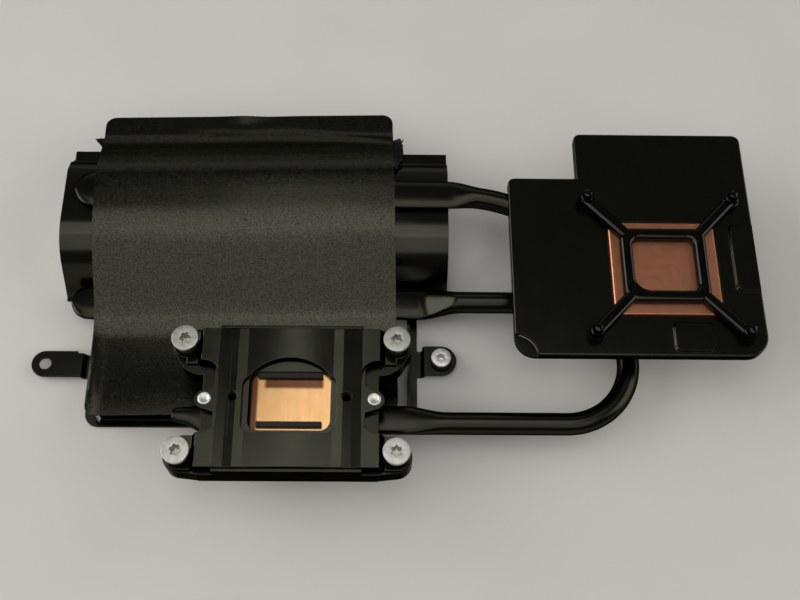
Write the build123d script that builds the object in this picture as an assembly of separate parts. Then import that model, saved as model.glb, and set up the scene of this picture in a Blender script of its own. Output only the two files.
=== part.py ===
from build123d import *
import math
import os

# Two-station heatsink: fin stack with an air duct, a CPU block and a GPU plate, joined by two heat pipes.
# Millimetres, +Z up (the contact side), origin at the middle of the footprint, on the table.

# overall layout
cpu_x, cpu_y = -34.25, -47.8        # middle of the CPU screw pattern
gpu_x, gpu_y = 97.7, 3.5            # middle of the GPU stud pattern
top_z = 36.0                        # plane of the CPU screw heads and the GPU stud tips
gap = 0.3                           # clearance round pins, shanks and curved seats

# fin stack
stack_x0, stack_x1 = -123.0, 21.0   # ends of the stack
stack_back_y = 51.5
base_t, casing_t = 0.8, 0.6         # base sheet and casing sheet
deck_z = 22.4                       # flat deck that carries the GPU pipe
deck_back_y, deck_front_y = 46.5, 26.0
brow_r, slope_deg = 18.2, 59.0      # outer radius below the deck and angle of the front slope
tail_z = 19.6                       # casing height at its back edge
fin_t, fin_count = 0.4, 64
strip_z, strip_back_y = 17.8, 57.3  # stepped strip behind the casing
strip_inset_l, strip_inset_r = 0.9, 0.2

# heat pipes
pipe_d = 8.0
rear_y, rear_flat = 35.5, 3.2       # GPU pipe on the deck: middle line and flattened height
rear_w_l, rear_w_r = 15.2, 11.5     # flattened width at its left end and at its right end
rear_tip_x, rear_flat_x = -118.4, 21.2
gpu_pipe_z, gpu_leg = 22.7, 5.0     # round part: height and straight length after the bend
gpu_bend_x, gpu_bend_y = 33.0, 34.9  # start of the bend, already turned by the first angle
gpu_bend_r, gpu_turn_0, gpu_turn_1 = 56.0, 9.0, 31.0
gpu_foot = 30.0                     # pressed length under the GPU copper
front_flat, front_flat_z = 3.4, 4.8  # CPU pipe in front of the slope: flattened height and underside
front_w_l, front_w_r = 14.0, 12.6
front_tip_x, front_flat_x, front_y = -119.2, 10.0, -1.6
u_z, u_r = 11.5, 23.5               # height and radius of the hairpin
u_x, u_front_y = 62.1, -50.0        # start of the hairpin and line of the leg under the CPU
taper = 16.0                        # length over which a round pipe turns flat
pressed, pressed_w = 3.6, 10.5      # flattened size below the two copper bases
cpu_pressed_z, cpu_pressed_x = 12.9, 4.0
nose_r, nose_l, nose_x = 2.8, 13.0, -77.0

# duct frame and film
frame_x0, frame_x1, frame_y0 = -110.7, 9.6, -48.4
frame_back_y = 1.5
rim_t, rim_w = 1.0, 3.7
wall_z, wall_t, wall_back_y = 7.6, 1.0, -10.2
corner_r, ear_z = 5.0, 3.2
ear_l_x, ear_l_y, ear_l_r, ear_l_neck = -127.0, -25.0, 5.0, 9.2
ear_r_x, ear_r_y, ear_r_r, ear_r_neck = 18.3, -22.9, 5.8, 10.2
ear_hole_r, collar_r, collar_h = 2.2, 3.9, 2.4
ear_head_r, ear_head_t, ear_shank_r = 3.6, 1.2, 1.5
film_t = 0.3
film_x0, film_x1, film_turn = -109.8, 1.6, 1.3
film_back_y, film_front_y = 73.8, -44.8
film_tail_z, film_fall = 20.2, 26.2  # height of the free back edge and length of the slope up to the crest
film_crest_y0, film_crest_y1 = 29.0, 47.6
film_foot_y = -17.0                 # where the film comes down on the walls
tab_w, tab_h, tab_t = 3.8, 5.6, 0.3  # pointed scrap of tape on the left edge
crumple_l, crumple_w, crumple_t = 15.2, 3.7, 0.4  # crumpled strip of tape on the right edge

# CPU block
cpu_dx, cpu_dy = 36.0, 19.75        # half spacing of the screws
body_z0, body_z1 = 20.5, 28.2
body_half_x, body_half_y, body_floor = 30.0, 26.0, 3.2
body_wall_x, body_wall_y = 6.0, 4.5
boss_r, boss_reach, horn_r, horn_in = 5.4, 7.0, 9.4, 5.5
lip_z, lip_t, lip_half_x = 32.2, 1.1, 24.6
keeper_z, keeper_t, keeper_half_x = 31.2, 1.2, 25.4  # flat plate held by the rivets
plate_t = 1.2                       # pressed top plate
plate_half_x, plate_half_y = 24.0, body_half_y - lip_t - gap
arm_y, arm_tip_r, bay_r = 12.8, 4.85, 5.5
crown_z, crown_half_x = 33.4, 15.6  # raised middle of the top plate
groove_z, groove_x0, groove_x1 = 32.4, 20.2, 22.4
shelf_z, shelf_x0, shelf_x1, joggle = 33.0, 24.6, 30.4, 1.6
window_w, window_d, window_r, window_y = 31.6, 20.4, 3.6, -2.7
crown_w, crown_y0, crown_y1 = 30.0, 5.6, 13.6  # arched back edge of the window
keeper_w, keeper_d, keeper_r, keeper_y = 27.6, 20.8, 3.5, -1.1
rivet_x, rivet_y, rivet_r, rivet_shank_r, post_r = 28.5, -0.6, 2.3, 1.3, 3.4
rivet_h, rivet_rim, rivet_dish = 0.9, 0.8, 0.25
tap_x, tap_r, thread = 19.2, 1.7, 0.3
shank_r, head_r, head_t, sleeve_r = 2.0, 4.6, 1.4, 3.6
copper_z, copper_x0, copper_x1, copper_y0, copper_y1 = 29.6, -14.4, 14.2, -11.4, 10.0
foot_half_x, foot_y0, foot_y1 = 26.0, -15.0, 14.0
strip_half_x, strip_w, strip_h, strip_y0, strip_y1 = 11.0, 1.9, 1.5, -10.2, 7.2

# GPU plate
gpu_d = 26.6                        # half spacing of the studs
pan_x0, pan_x1, pan_y0, pan_y1 = 43.0, 132.0, -30.5, 60.3
notch_x, notch_y = 68.7, 40.6
pan_z, pan_h, pan_skin, pan_wall = 28.5, 4.0, 1.5, 1.5
pocket_r, pocket_depth, emboss_h = 8.0, 1.8, 0.8
edge_pad_w, edge_pad_d, edge_pad_y = 8.8, 27.5, 7.75   # raised pad on the right edge
front_pad_w, front_pad_d = 14.4, 11.4  # raised pad near the front
front_pad_x, front_pad_y = 105.8, -23.6
cu_w, cu_d, cu_z = 39.0, 37.4, 29.0
cu_foot_w, cu_foot_d = 46.0, 44.0
bar_w, bar_h = 4.2, 3.3
ring_w, ring_d = 22.4, 20.6         # opening inside the ring
ring_r, ring_r_wide = 2.6, 5.2      # its corners; the front left one is wider
pad_r, stud_r = 3.1, 1.5
mouth_y, mouth_turn = 32.4, 19.6    # where the pipe enters through the lip, and its angle there


def block(x0, x1, y0, y1, z0, z1):
    """Box between two corners."""
    return Pos((x0 + x1) / 2, (y0 + y1) / 2, (z0 + z1) / 2) * Box(x1 - x0, y1 - y0, z1 - z0)


def area(x0, x1, y0, y1):
    """Rectangle between two corners."""
    return Pos((x0 + x1) / 2, (y0 + y1) / 2) * Rectangle(x1 - x0, y1 - y0)


def disc(x, y, r):
    return Pos(x, y) * Circle(r)


def rod(x, y, r, z0, z1):
    """Upright cylinder between two heights."""
    return Pos(x, y, (z0 + z1) / 2) * Cylinder(r, z1 - z0)


def raised(plan, z0, z1):
    """Plan outline extruded between two heights."""
    return extrude(Pos(0, 0, z0) * plan, z1 - z0)


def hull(*outlines):
    """Band drawn tight round several outlines."""
    return make_hull(ShapeList(edge for outline in outlines for edge in outline.edges()))


def mitred(points, t):
    """The run of points moved t to its right-hand side, with mitred corners."""
    normals = []
    for (x0, y0), (x1, y1) in zip(points, points[1:]):
        length = math.hypot(x1 - x0, y1 - y0)
        normals.append(((y1 - y0) / length, -(x1 - x0) / length))
    moved = []
    for i, (x, y) in enumerate(points):
        a, b = normals[max(i - 1, 0)], normals[min(i, len(normals) - 1)]
        k = t / (1 + a[0] * b[0] + a[1] * b[1])
        moved.append((x + (a[0] + b[0]) * k, y + (a[1] + b[1]) * k))
    return moved


def folded(points, t):
    """Closed outline of a folded sheet; the points run along one side of it."""
    return make_face(Polyline(*points, *reversed(mitred(points, t)), close=True))


def along_x(outline, x0, x1):
    """(Y, Z) outline extruded along X."""
    return extrude(Plane.YZ.offset(x0) * outline, x1 - x0)


def along_y(outline, y0, y1):
    """(X, Z) outline extruded along Y."""
    return extrude(Plane.XZ.offset(-y1) * outline, y1 - y0)


def at_corners(x, y, dx, dy):
    """The four corners of a pattern, as (x, y, sign of x, sign of y)."""
    return [(x + sx * dx, y + sy * dy, sx, sy) for sx in (-1, 1) for sy in (-1, 1)]


# fin stack
def arch(inset):
    """Cross section of the stack below the casing, moved in along its upper side."""
    r, a = brow_r - inset, math.radians(slope_deg)
    fall = math.atan2(deck_z - tail_z, stack_back_y - deck_back_y)
    deck_back = (deck_back_y - inset * math.tan(fall / 2), deck_z - inset)
    tail = (stack_back_y, deck_back[1] - (stack_back_y - deck_back[0]) * math.tan(fall))
    deck_front = (deck_front_y, deck_z - inset)
    slope_top = (deck_front_y - r * math.sin(a), deck_z - brow_r + r * math.cos(a))
    slope_foot = (slope_top[0] - (slope_top[1] - base_t) / math.tan(a), base_t)
    heel = (stack_back_y, base_t)
    return make_face(Curve() + [
        Line(tail, deck_back), Line(deck_back, deck_front),
        TangentArc(deck_front, slope_top, tangent=(-1, 0)),
        Line(slope_top, slope_foot), Line(slope_foot, heel), Line(heel, tail)])


def fins():
    """Thin upright fins, side by side along the stack."""
    blank = along_x(arch(casing_t + gap), 0, fin_t)
    pitch = (stack_x1 - stack_x0 - fin_t) / (fin_count - 1)
    return Compound(children=[Pos(stack_x0 + i * pitch, 0, 0) * blank for i in range(fin_count)])


def fin_base_plate():
    return block(stack_x0, stack_x1, frame_back_y, stack_back_y, 0, base_t)


def fin_casing():
    """Sheet over the stack; below the film its slope is open, where the duct feeds the fins."""
    shell = along_x(arch(0) - arch(casing_t), stack_x0, stack_x1)
    return shell - block(frame_x0 + 6, film_x1 - 4, 2, 12, 9.5, 14.5)


def back_strip():
    """Stepped strip along the back edge of the casing."""
    x0, x1 = stack_x0 + strip_inset_l, stack_x1 - strip_inset_r
    riser = block(x0, x1, stack_back_y, stack_back_y + casing_t, strip_z - casing_t, tail_z)
    return riser + block(x0, x1, stack_back_y, strip_back_y, strip_z - casing_t, strip_z)


# heat pipes
def flat_run(end_a, end_b, z, t):
    """Flattened tube between two round ends, each given as (x, y, radius)."""
    body = raised(hull(disc(*end_a), disc(*end_b)), z, z + t)
    return fillet(body.edges().filter_by(Plane.XY), t / 2 - 0.1)


def morph(flat_at, width, t, round_at, turn=0):
    """Transition along X from a flattened section to the round tube, turned right by the end."""
    a = math.radians(-turn)
    flat = Plane(flat_at, x_dir=(0, 1, 0), z_dir=(1, 0, 0))
    tube = Plane(round_at, x_dir=(-math.sin(a), math.cos(a), 0), z_dir=(math.cos(a), math.sin(a), 0))
    return loft([flat * RectangleRounded(width, t, t / 2 - 0.02), tube * Circle(pipe_d / 2)])


def tube_along(path):
    return sweep(Plane(path @ 0, z_dir=path % 0) * Circle(pipe_d / 2), path=path)


def gpu_heat_pipe():
    """Pipe from the deck of the stack to the copper base of the GPU plate."""
    r_l, r_r = rear_w_l / 2, rear_w_r / 2
    deck = flat_run((rear_tip_x + r_l, rear_y + 1.6, r_l), (rear_flat_x, rear_y, r_r), deck_z, rear_flat)
    deck -= block(rear_flat_x, rear_flat_x + rear_w_l, 0, 2 * rear_y, 0, top_z)
    start, a = (gpu_bend_x, gpu_bend_y, gpu_pipe_z), math.radians(-gpu_turn_0)
    neck = morph((rear_flat_x, rear_y, deck_z + rear_flat / 2), rear_w_r, rear_flat, start, gpu_turn_0)
    bend = JernArc(start, (math.cos(a), math.sin(a), 0), gpu_bend_r, gpu_turn_0 - gpu_turn_1)
    leg = Line(bend @ 1, (bend @ 1) + (bend % 1) * gpu_leg)
    foot_z = pan_z - pan_h - pressed
    foot = morph((taper, 0, foot_z + pressed / 2), pressed_w, pressed, (0, 0, gpu_pipe_z))
    sole = flat_run((taper, 0, pressed_w / 2), (taper + gpu_foot, 0, pressed_w / 2), foot_z, pressed)
    foot += sole - block(0, taper, -pressed_w, pressed_w, 0, top_z)
    end = leg @ 1
    return deck + neck + tube_along(bend + leg) + Pos(end.X, end.Y, 0) * Rot(0, 0, -gpu_turn_1) * foot


def cpu_heat_pipe():
    """Hairpin pipe from the foot of the stack's slope to the copper base under the CPU block."""
    r_l, r_r, back_y = front_w_l / 2, front_w_r / 2, u_front_y + 2 * u_r
    front = flat_run((front_tip_x + r_l, front_y, r_l), (front_flat_x, front_y, r_r),
                     front_flat_z, front_flat)
    front -= block(front_flat_x, front_flat_x + front_w_l, front_y - r_l, front_y + r_l, 0, top_z)
    back_x = front_flat_x + taper
    neck = morph((front_flat_x, front_y, front_flat_z + front_flat / 2), front_w_r, front_flat,
                 (back_x, back_y, u_z))
    out = Line((back_x, back_y, u_z), (u_x, back_y, u_z))
    bend = JernArc(out @ 1, (1, 0, 0), u_r, -180)
    home = Line(bend @ 1, (cpu_pressed_x + taper, u_front_y, u_z))
    throat = morph((cpu_pressed_x, u_front_y, cpu_pressed_z + pressed / 2), pressed_w, pressed, home @ 1)
    heel = (nose_x + nose_l, u_front_y, pressed_w / 2)
    run = flat_run(heel, (cpu_pressed_x, u_front_y, pressed_w / 2), cpu_pressed_z, pressed) - block(
        cpu_pressed_x, cpu_pressed_x + taper, u_front_y - pressed_w, u_front_y + pressed_w, 0, top_z)
    nose = flat_run(heel, (nose_x + nose_r, u_front_y + 1.4, nose_r), cpu_pressed_z, pressed)
    return front + neck + tube_along(out + bend + home) + throat + run + nose


# duct frame and film
def ear(x, y, r, neck_w, root_x):
    """Raised ear on a short neck; its hole takes a screw."""
    s = 1 if x > root_x else -1
    tip = x + s * r
    path = [(root_x - s * 2, rim_t), (root_x + s * 1.4, rim_t), (root_x + s * 2.8, ear_z), (tip, ear_z)]
    strap = along_y(folded(path, s * rim_t), y - r, y + r)
    pad_x = root_x + s * (2.0 if s > 0 else 4.8)
    plan = disc(x, y, r) + area(*sorted((pad_x, x)), y - r, y + r)
    plan += area(*sorted((root_x - s * 2, pad_x)), y - r, y - r + neck_w)
    return (strap & raised(plan, 0, ear_z)) - rod(x, y, ear_hole_r, 0, ear_z)


def duct_frame():
    """Folded sheet frame: a rim on the table, walls inside it and an ear on each side."""
    outer = fillet(area(frame_x0, frame_x1, frame_y0, frame_back_y).vertices().sort_by(Axis.Y)[:2], corner_r)
    inner = area(frame_x0 + rim_w, frame_x1 - rim_w, frame_y0 + rim_w, frame_back_y)
    frame = raised(outer - inner, 0, rim_t)
    x0, x1, y0 = frame_x0 + rim_w - wall_t, frame_x1 - rim_w + wall_t, frame_y0 + rim_w - wall_t
    wall = fillet(area(x0, x1, y0, wall_back_y).vertices().sort_by(Axis.Y)[:2], corner_r)
    core = fillet(area(x0 + wall_t, x1 - wall_t, y0 + wall_t, frame_back_y).vertices().sort_by(Axis.Y)[:2],
                  corner_r - wall_t)
    frame += raised(wall - core, 0, wall_z)
    relief = Polyline((frame_x0 + 2.4, frame_y0 + 5.4), (frame_x0 + 6.6, frame_y0 + 5.4),
                      (frame_x0 + 5.4, frame_y0 + 1.6), close=True)
    frame -= raised(make_face(relief), 0, wall_z)
    frame += ear(ear_l_x, ear_l_y, ear_l_r, ear_l_neck, frame_x0)
    return frame + ear(ear_r_x, ear_r_y, ear_r_r, ear_r_neck, frame_x1)


def duct_film():
    """Thin film laid from behind the stack over both pipes, down on to the frame."""
    rest, crest = wall_z + film_t, deck_z + rear_flat + film_t
    start, rise = film_crest_y1 + film_fall, crest - film_tail_z
    back = [(film_back_y, film_tail_z)] + [
        (start - film_fall * k, film_tail_z + rise * h)
        for k, h in [(0.336, 0), (0.546, 0.14), (0.813, 0.737), (1, 1)]]
    run, drop = film_crest_y0 - film_foot_y, crest - rest
    front = [(film_crest_y0 - run * k, crest - drop * h) for k, h in [
        (0, 0), (0.098, 0.033), (0.239, 0.182), (0.457, 0.508), (0.696, 0.867), (0.826, 0.95), (1, 1)]]
    low = mitred(back + front + [(film_front_y, rest)], -film_t)
    flat = [(-1, 0), (-1, 0)]
    upper = [Spline(*back, tangents=flat), Line(back[-1], front[0]), Spline(*front, tangents=flat),
             Line(front[-1], (film_front_y, rest))]
    n = len(back)
    lower = [Spline(*low[:n], tangents=flat), Line(low[n - 1], low[n]), Spline(*low[n:-1], tangents=flat),
             Line(low[-2], low[-1])]
    ends = [Line(low[0], back[0]), Line(low[-1], (film_front_y, rest))]
    film = along_x(make_face(Curve() + upper + lower + ends), film_x0, film_x1)
    return Rot(0, 0, film_turn) * film


def film_tabs():
    """Two scraps of black tape on the film's edges: a point on the left, a crumpled strip on the right."""
    x, y = film_x0 - 1.0, deck_back_y + 15.7
    point = make_face(Polyline((x - tab_w, y - tab_h / 4), (x, y), (x, y - tab_h), close=True))
    left = raised(point, film_tail_z - 2 * tab_t, film_tail_z - tab_t)
    step, x, y = crumple_l / 8, film_x1 + crumple_t, deck_back_y + 13.5
    wave = [(x + step * (0.47 * (i % 2) + 0.06 * i), y - step * i) for i in range(9)]
    right = raised(folded(wave, crumple_t), deck_z + gap, deck_z + gap + crumple_w)
    return Compound(children=[left, right])


def ear_screw():
    """Six-lobe screw in the right ear."""
    x, y, seat = ear_r_x, ear_r_y, ear_z + collar_h
    head = fillet(rod(x, y, ear_head_r, seat, seat + ear_head_t).edges().sort_by(Axis.Z)[-1], 0.3)
    head += rod(x, y, ear_shank_r, 0.4, seat)
    return head - six_lobe(x, y, 0.45 * ear_head_r, seat + 0.3, seat + ear_head_t)


def ear_collar():
    """Rubber collar between the ear and its screw head."""
    top = ear_z + collar_h
    ring = rod(ear_r_x, ear_r_y, collar_r, ear_z, top) - rod(ear_r_x, ear_r_y, ear_shank_r + gap, ear_z, top)
    return fillet(ring.edges().filter_by(GeomType.CIRCLE).sort_by(SortBy.RADIUS)[-2:], 0.4)


# CPU block
def six_lobe(x, y, r, z0, z1):
    """Six-lobe recess of a screw head."""
    plan = disc(x, y, 0.72 * r)
    for i in range(6):
        a = math.radians(60 * i)
        plan += disc(x + 0.72 * r * math.cos(a), y + 0.72 * r * math.sin(a), 0.28 * r)
    return raised(plan, z0, z1)


def cpu_copper_base():
    """Copper foot on the flattened pipe, with the block that meets the processor."""
    z0 = cpu_pressed_z + pressed
    x0, x1 = cpu_x + copper_x0, cpu_x + copper_x1
    block_up = block(x0, x1, cpu_y + copper_y0, cpu_y + copper_y1, body_z0, copper_z)
    edges = block_up.faces().sort_by(Axis.Z)[-1].edges()
    block_up = chamfer(edges.sort_by(Axis.X)[0], 0.8, 2.0)
    foot = block(cpu_x - foot_half_x, cpu_x + foot_half_x, cpu_y + foot_y0, cpu_y + foot_y1, z0, body_z0)
    return block_up + foot


def cpu_body():
    """Cast body of the CPU block: four bosses, curved shoulders at the back, lips front and back."""
    x, y = cpu_x, cpu_y
    plan = area(x - body_half_x, x + body_half_x, y - body_half_y, y + body_half_y)
    for cx, cy, sx, sy in at_corners(x, y, cpu_dx, cpu_dy):
        inner = disc(x + sx * (cpu_dx - boss_reach), cy, boss_r + 0.8)
        plan += hull(disc(cx, cy, boss_r), inner)
        if sy > 0:
            horn = disc(cx - sx * horn_in, cy - 1.25, horn_r)
            plan += horn & area(x - 2 * cpu_dx, x + 2 * cpu_dx, y, y + body_half_y)
    for s in (-1, 1):
        root = disc(x + s * (rivet_x - 2 * post_r), y, post_r)
        plan += hull(disc(x + s * rivet_x, y + rivet_y, post_r), root)
    body = raised(plan, body_z0, body_z1)
    hollow_x, hollow_y = body_half_x - body_wall_x, body_half_y - body_wall_y
    body -= block(x - hollow_x, x + hollow_x, y - hollow_y, y + hollow_y, body_z0 + body_floor, body_z1)
    for s in (-1, 1):
        edge = sorted((y + s * body_half_y, y + s * (body_half_y - lip_t)))
        body += block(x - lip_half_x, x + lip_half_x, *edge, body_z1, lip_z)
        body += rod(x + s * rivet_x, y + rivet_y, post_r, body_z1, keeper_z - keeper_t)
        body -= rod(x + s * rivet_x, y + rivet_y, rivet_shank_r + gap, body_z0, keeper_z)
    body -= block(x + copper_x0 - 0.4, x + copper_x1 + 0.4, y + copper_y0 - 0.4, y + copper_y1 + 0.4,
                  body_z0, body_z1)
    for cx, cy, _, _ in at_corners(x, y, cpu_dx, cpu_dy):
        body -= rod(cx, cy, shank_r + gap, body_z0, body_z1)
    return body


def cpu_keeper_plate():
    """Flat plate under the top plate, with an ear for each rivet and a window for the copper."""
    x, y = cpu_x, cpu_y
    plan = area(x - keeper_half_x, x + keeper_half_x, y - plate_half_y, y + plate_half_y)
    for s in (-1, 1):
        root = area(*sorted((x + s * (keeper_half_x - 4.4), x + s * (keeper_half_x - 2.4))), y - 6, y + 5)
        plan += hull(disc(x + s * rivet_x, y + rivet_y, post_r), root)
        plan -= disc(x + s * rivet_x, y + rivet_y, rivet_shank_r + gap)
        plan -= disc(x + s * tap_x, y, tap_r - thread)
    plan -= Pos(x, y + keeper_y) * RectangleRounded(keeper_w, keeper_d, keeper_r)
    return raised(plan, keeper_z - keeper_t, keeper_z)


def cpu_top_plate():
    """Pressed plate: raised middle, two shallow grooves and four arms bent down to the screws."""
    x, y = cpu_x, cpu_y
    arm_z, reach = body_z1 + plate_t, cpu_dx + arm_tip_r + 2
    half = [(0, crown_z), (crown_half_x, crown_z), (groove_x0, groove_z), (groove_x1, groove_z),
            (shelf_x0, shelf_z), (shelf_x1, shelf_z), (shelf_x1 + joggle, arm_z), (reach, arm_z)]
    run = [(x - px, pz) for px, pz in reversed(half[1:])] + [(x + px, pz) for px, pz in half]
    sheet = along_y(folded(run, plate_t), y - plate_half_y, y + plate_half_y)
    plan = area(x - cpu_dx, x + cpu_dx, y - plate_half_y, y + plate_half_y)
    for s in (-1, 1):
        bay = area(*sorted((x + s * plate_half_x, x + s * 2 * cpu_dx)), y - arm_y, y + arm_y)
        inner = bay.vertices().sort_by(Axis.X, reverse=s < 0)[:2]
        plan -= fillet(inner, bay_r)
    plan += [disc(cx, cy, arm_tip_r) for cx, cy, _, _ in at_corners(x, y, cpu_dx, cpu_dy)]
    window = Pos(x, y + window_y) * RectangleRounded(window_w, window_d, window_r)
    left, right = (x - crown_w / 2, y + crown_y0), (x + crown_w / 2, y + crown_y0)
    crown = make_face(Curve() + [ThreePointArc(left, (x, y + crown_y1), right), Line(right, left)])
    plate = sheet & raised(plan - window - crown, body_z1, top_z)
    for cx, cy, _, _ in at_corners(x, y, cpu_dx, cpu_dy):
        plate -= rod(cx, cy, shank_r + gap, body_z1, top_z)
    for s in (-1, 1):
        plate -= rod(x + s * tap_x, y, tap_r, body_z1, top_z)
    return plate


def cpu_rivets():
    """Two dished rivets through the ears of the keeper plate."""
    rivets = []
    for s in (-1, 1):
        x, y = cpu_x + s * rivet_x, cpu_y + rivet_y
        top = keeper_z + rivet_h
        head = rod(x, y, rivet_r, keeper_z, top) - rod(x, y, rivet_r - rivet_rim, top - rivet_dish, top)
        rivets.append(head + rod(x, y, rivet_shank_r, body_z1 - 3, keeper_z))
    return Compound(children=rivets)


def cpu_screws():
    """Four flat-headed six-lobe screws."""
    screws = []
    for x, y, _, _ in at_corners(cpu_x, cpu_y, cpu_dx, cpu_dy):
        head = fillet(rod(x, y, head_r, top_z - head_t, top_z).edges().sort_by(Axis.Z)[-1], 0.3)
        screws.append(head + rod(x, y, shank_r, body_z0 + 0.5, top_z - head_t)
                      - six_lobe(x, y, 0.38 * head_r, top_z - 1.0, top_z))
    return Compound(children=screws)


def cpu_sleeves():
    """Black sleeves between the arms and the screw heads."""
    z0, z1 = body_z1 + plate_t, top_z - head_t
    return Compound(children=[
        rod(x, y, sleeve_r, z0, z1) - rod(x, y, shank_r + gap, z0, z1)
        for x, y, _, _ in at_corners(cpu_x, cpu_y, cpu_dx, cpu_dy)])


def cpu_foam_strips():
    """Two dark strips on the copper, along the front and the back of the window."""
    return Compound(children=[
        block(cpu_x - strip_half_x, cpu_x + strip_half_x, y, y + strip_w, copper_z, copper_z + strip_h)
        for y in (cpu_y + strip_y0, cpu_y + strip_y1)])


# GPU plate
def pan_outline(inset):
    """Plan of the GPU plate, moved in by the inset."""
    plan = area(pan_x0 + inset, pan_x1 - inset, pan_y0 + inset, pan_y1 - inset)
    plan -= area(pan_x0, notch_x + inset, notch_y - inset, pan_y1)
    corners = [(pan_x0, pan_y0, 7.5), (pan_x1, pan_y0, 8.0), (pan_x1, pan_y1, 3.0),
               (notch_x, pan_y1, 2.5), (pan_x0, notch_y, 2.5)]
    for x, y, r in corners:
        corner = plan.vertices().sort_by_distance((x, y))[0]
        plan = fillet(corner, max(r - inset, 0.6))
    return plan


def gpu_plate():
    """Pressed pan with a downturned lip, a corner pocket, two embossed pads and a window for the copper."""
    z0 = pan_z - pan_h
    pan = raised(pan_outline(0), z0, pan_z)
    pan = fillet(pan.faces().sort_by(Axis.Z)[-1].outer_wire().edges(), 0.6)
    pan -= raised(pan_outline(pan_wall), z0, pan_z - pan_skin)
    pocket = disc(pan_x0, pan_y0, pocket_r)
    pan += raised(pan_outline(0) & pocket, z0, pan_z - pocket_depth)
    pan -= raised(pocket, pan_z - pocket_depth, pan_z)
    edge_x = pan_x1 - 0.4
    edge_pad = area(edge_x - edge_pad_w, edge_x, edge_pad_y - edge_pad_d / 2, edge_pad_y + edge_pad_d / 2)
    edge_pad = fillet(edge_pad.vertices().sort_by(Axis.X)[:2], 2.5)
    front_pad = Pos(front_pad_x, front_pad_y) * RectangleRounded(front_pad_w, front_pad_d, 2.2)
    pan += raised(edge_pad + front_pad, pan_z, pan_z + emboss_h)
    pan -= block(gpu_x - cu_w / 2 + 0.2, gpu_x + cu_w / 2 + 0.6,
                 gpu_y - cu_d / 2 - 0.4, gpu_y + cu_d / 2, z0, pan_z)
    mouth = Rot(0, 0, -mouth_turn) * Rot(0, 90, 0) * Cylinder(pipe_d / 2 + 0.4, 14)
    return pan - Pos(pan_x0, mouth_y, gpu_pipe_z) * mouth


def gpu_copper_base():
    """Copper foot on the flattened pipe, rising through the window of the pan."""
    z0, x, y = pan_z - pan_h, gpu_x + 0.4, gpu_y - 0.2
    top = Pos(x, y) * Rectangle(cu_w - 0.4, cu_d - 0.4)
    boss = raised(top, pan_z - pan_skin, cu_z)
    boss = chamfer(boss.faces().sort_by(Axis.Z)[-1].edges(), 0.4)
    foot = raised(Pos(x, y) * Rectangle(cu_foot_w, cu_foot_d), z0, pan_z - pan_skin)
    return boss + foot


def gpu_bracket():
    """Glossy X bracket: a square ring with a round-ended arm to each stud."""
    centre = Pos(gpu_x, gpu_y)
    ring = centre * (RectangleRounded(ring_w + 2 * bar_w, ring_d + 2 * bar_w, 4.5))
    hole = centre * Rectangle(ring_w, ring_d)
    wide = hole.vertices().group_by(Axis.Y)[0].sort_by(Axis.X)[0]
    hole = fillet(wide, ring_r_wide)
    hole = fillet([v for v in hole.vertices() if v.Y > gpu_y or v.X > gpu_x + ring_w / 4], ring_r)
    arms, pads = Sketch(), Sketch()
    for x, y, sx, sy in at_corners(gpu_x, gpu_y, gpu_d, gpu_d):
        root = disc(gpu_x + sx * (ring_w + bar_w) / 2, gpu_y + sy * (ring_d + bar_w) / 2, bar_w / 2)
        arms += hull(root, disc(x, y, bar_w / 2))
        pads += disc(x, y, pad_r)
    bars = raised(ring + arms - hole, cu_z, cu_z + bar_h)
    bars = fillet(bars.faces().sort_by(Axis.Z)[-1].edges(), 1.3)
    return bars + fillet(raised(pads, pan_z, cu_z + bar_h - 0.6).faces().sort_by(Axis.Z)[-1].edges(), 0.6)


def gpu_studs():
    """Stepped studs on the four pads."""
    z0 = cu_z + bar_h
    studs = []
    for x, y, _, _ in at_corners(gpu_x, gpu_y, gpu_d, gpu_d):
        tip = chamfer(rod(x, y, stud_r, z0, top_z).edges().sort_by(Axis.Z)[-1], 0.4)
        studs.append(tip + rod(x, y, stud_r + 0.6, z0, z0 + 1.3))
    return Compound(children=studs)


PARTS = (fins, fin_base_plate, fin_casing, back_strip, gpu_heat_pipe, cpu_heat_pipe, duct_frame, duct_film,
         film_tabs, ear_screw, ear_collar, cpu_copper_base, cpu_body, cpu_keeper_plate, cpu_top_plate,
         cpu_rivets, cpu_screws, cpu_sleeves, cpu_foam_strips, gpu_plate, gpu_copper_base, gpu_bracket,
         gpu_studs)

os.makedirs("parts", exist_ok=True)
for make in PARTS:
    export_step(make(), f"parts/{make.__name__}.step")
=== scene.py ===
"""Looks of the two-station heatsink: film duct, fin stack, heat pipes, CPU block and GPU plate."""
import logging
import math
from dataclasses import dataclass
from enum import Enum
from typing import Sequence

import bmesh
import bpy
from mathutils import Matrix, Vector, noise
from mathutils.geometry import interpolate_bezier


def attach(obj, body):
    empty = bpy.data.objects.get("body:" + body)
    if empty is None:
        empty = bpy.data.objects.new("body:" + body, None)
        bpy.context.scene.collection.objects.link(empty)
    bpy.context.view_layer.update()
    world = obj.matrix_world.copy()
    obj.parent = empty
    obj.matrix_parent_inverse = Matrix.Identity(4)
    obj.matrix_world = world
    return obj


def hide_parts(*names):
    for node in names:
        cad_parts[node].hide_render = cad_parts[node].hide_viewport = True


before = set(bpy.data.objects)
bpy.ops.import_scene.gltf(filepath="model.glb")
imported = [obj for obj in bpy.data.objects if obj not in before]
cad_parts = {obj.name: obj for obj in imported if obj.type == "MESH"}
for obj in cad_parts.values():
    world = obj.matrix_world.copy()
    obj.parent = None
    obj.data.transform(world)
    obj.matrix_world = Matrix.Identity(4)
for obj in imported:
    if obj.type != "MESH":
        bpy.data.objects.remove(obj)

LOG = logging.getLogger("heatsink")
MM = 0.001
BODY = "root"
MERGE = 0.002 * MM
POLE_MERGE = 0.003 * MM
CUT_SNAP = 0.0005 * MM
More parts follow.
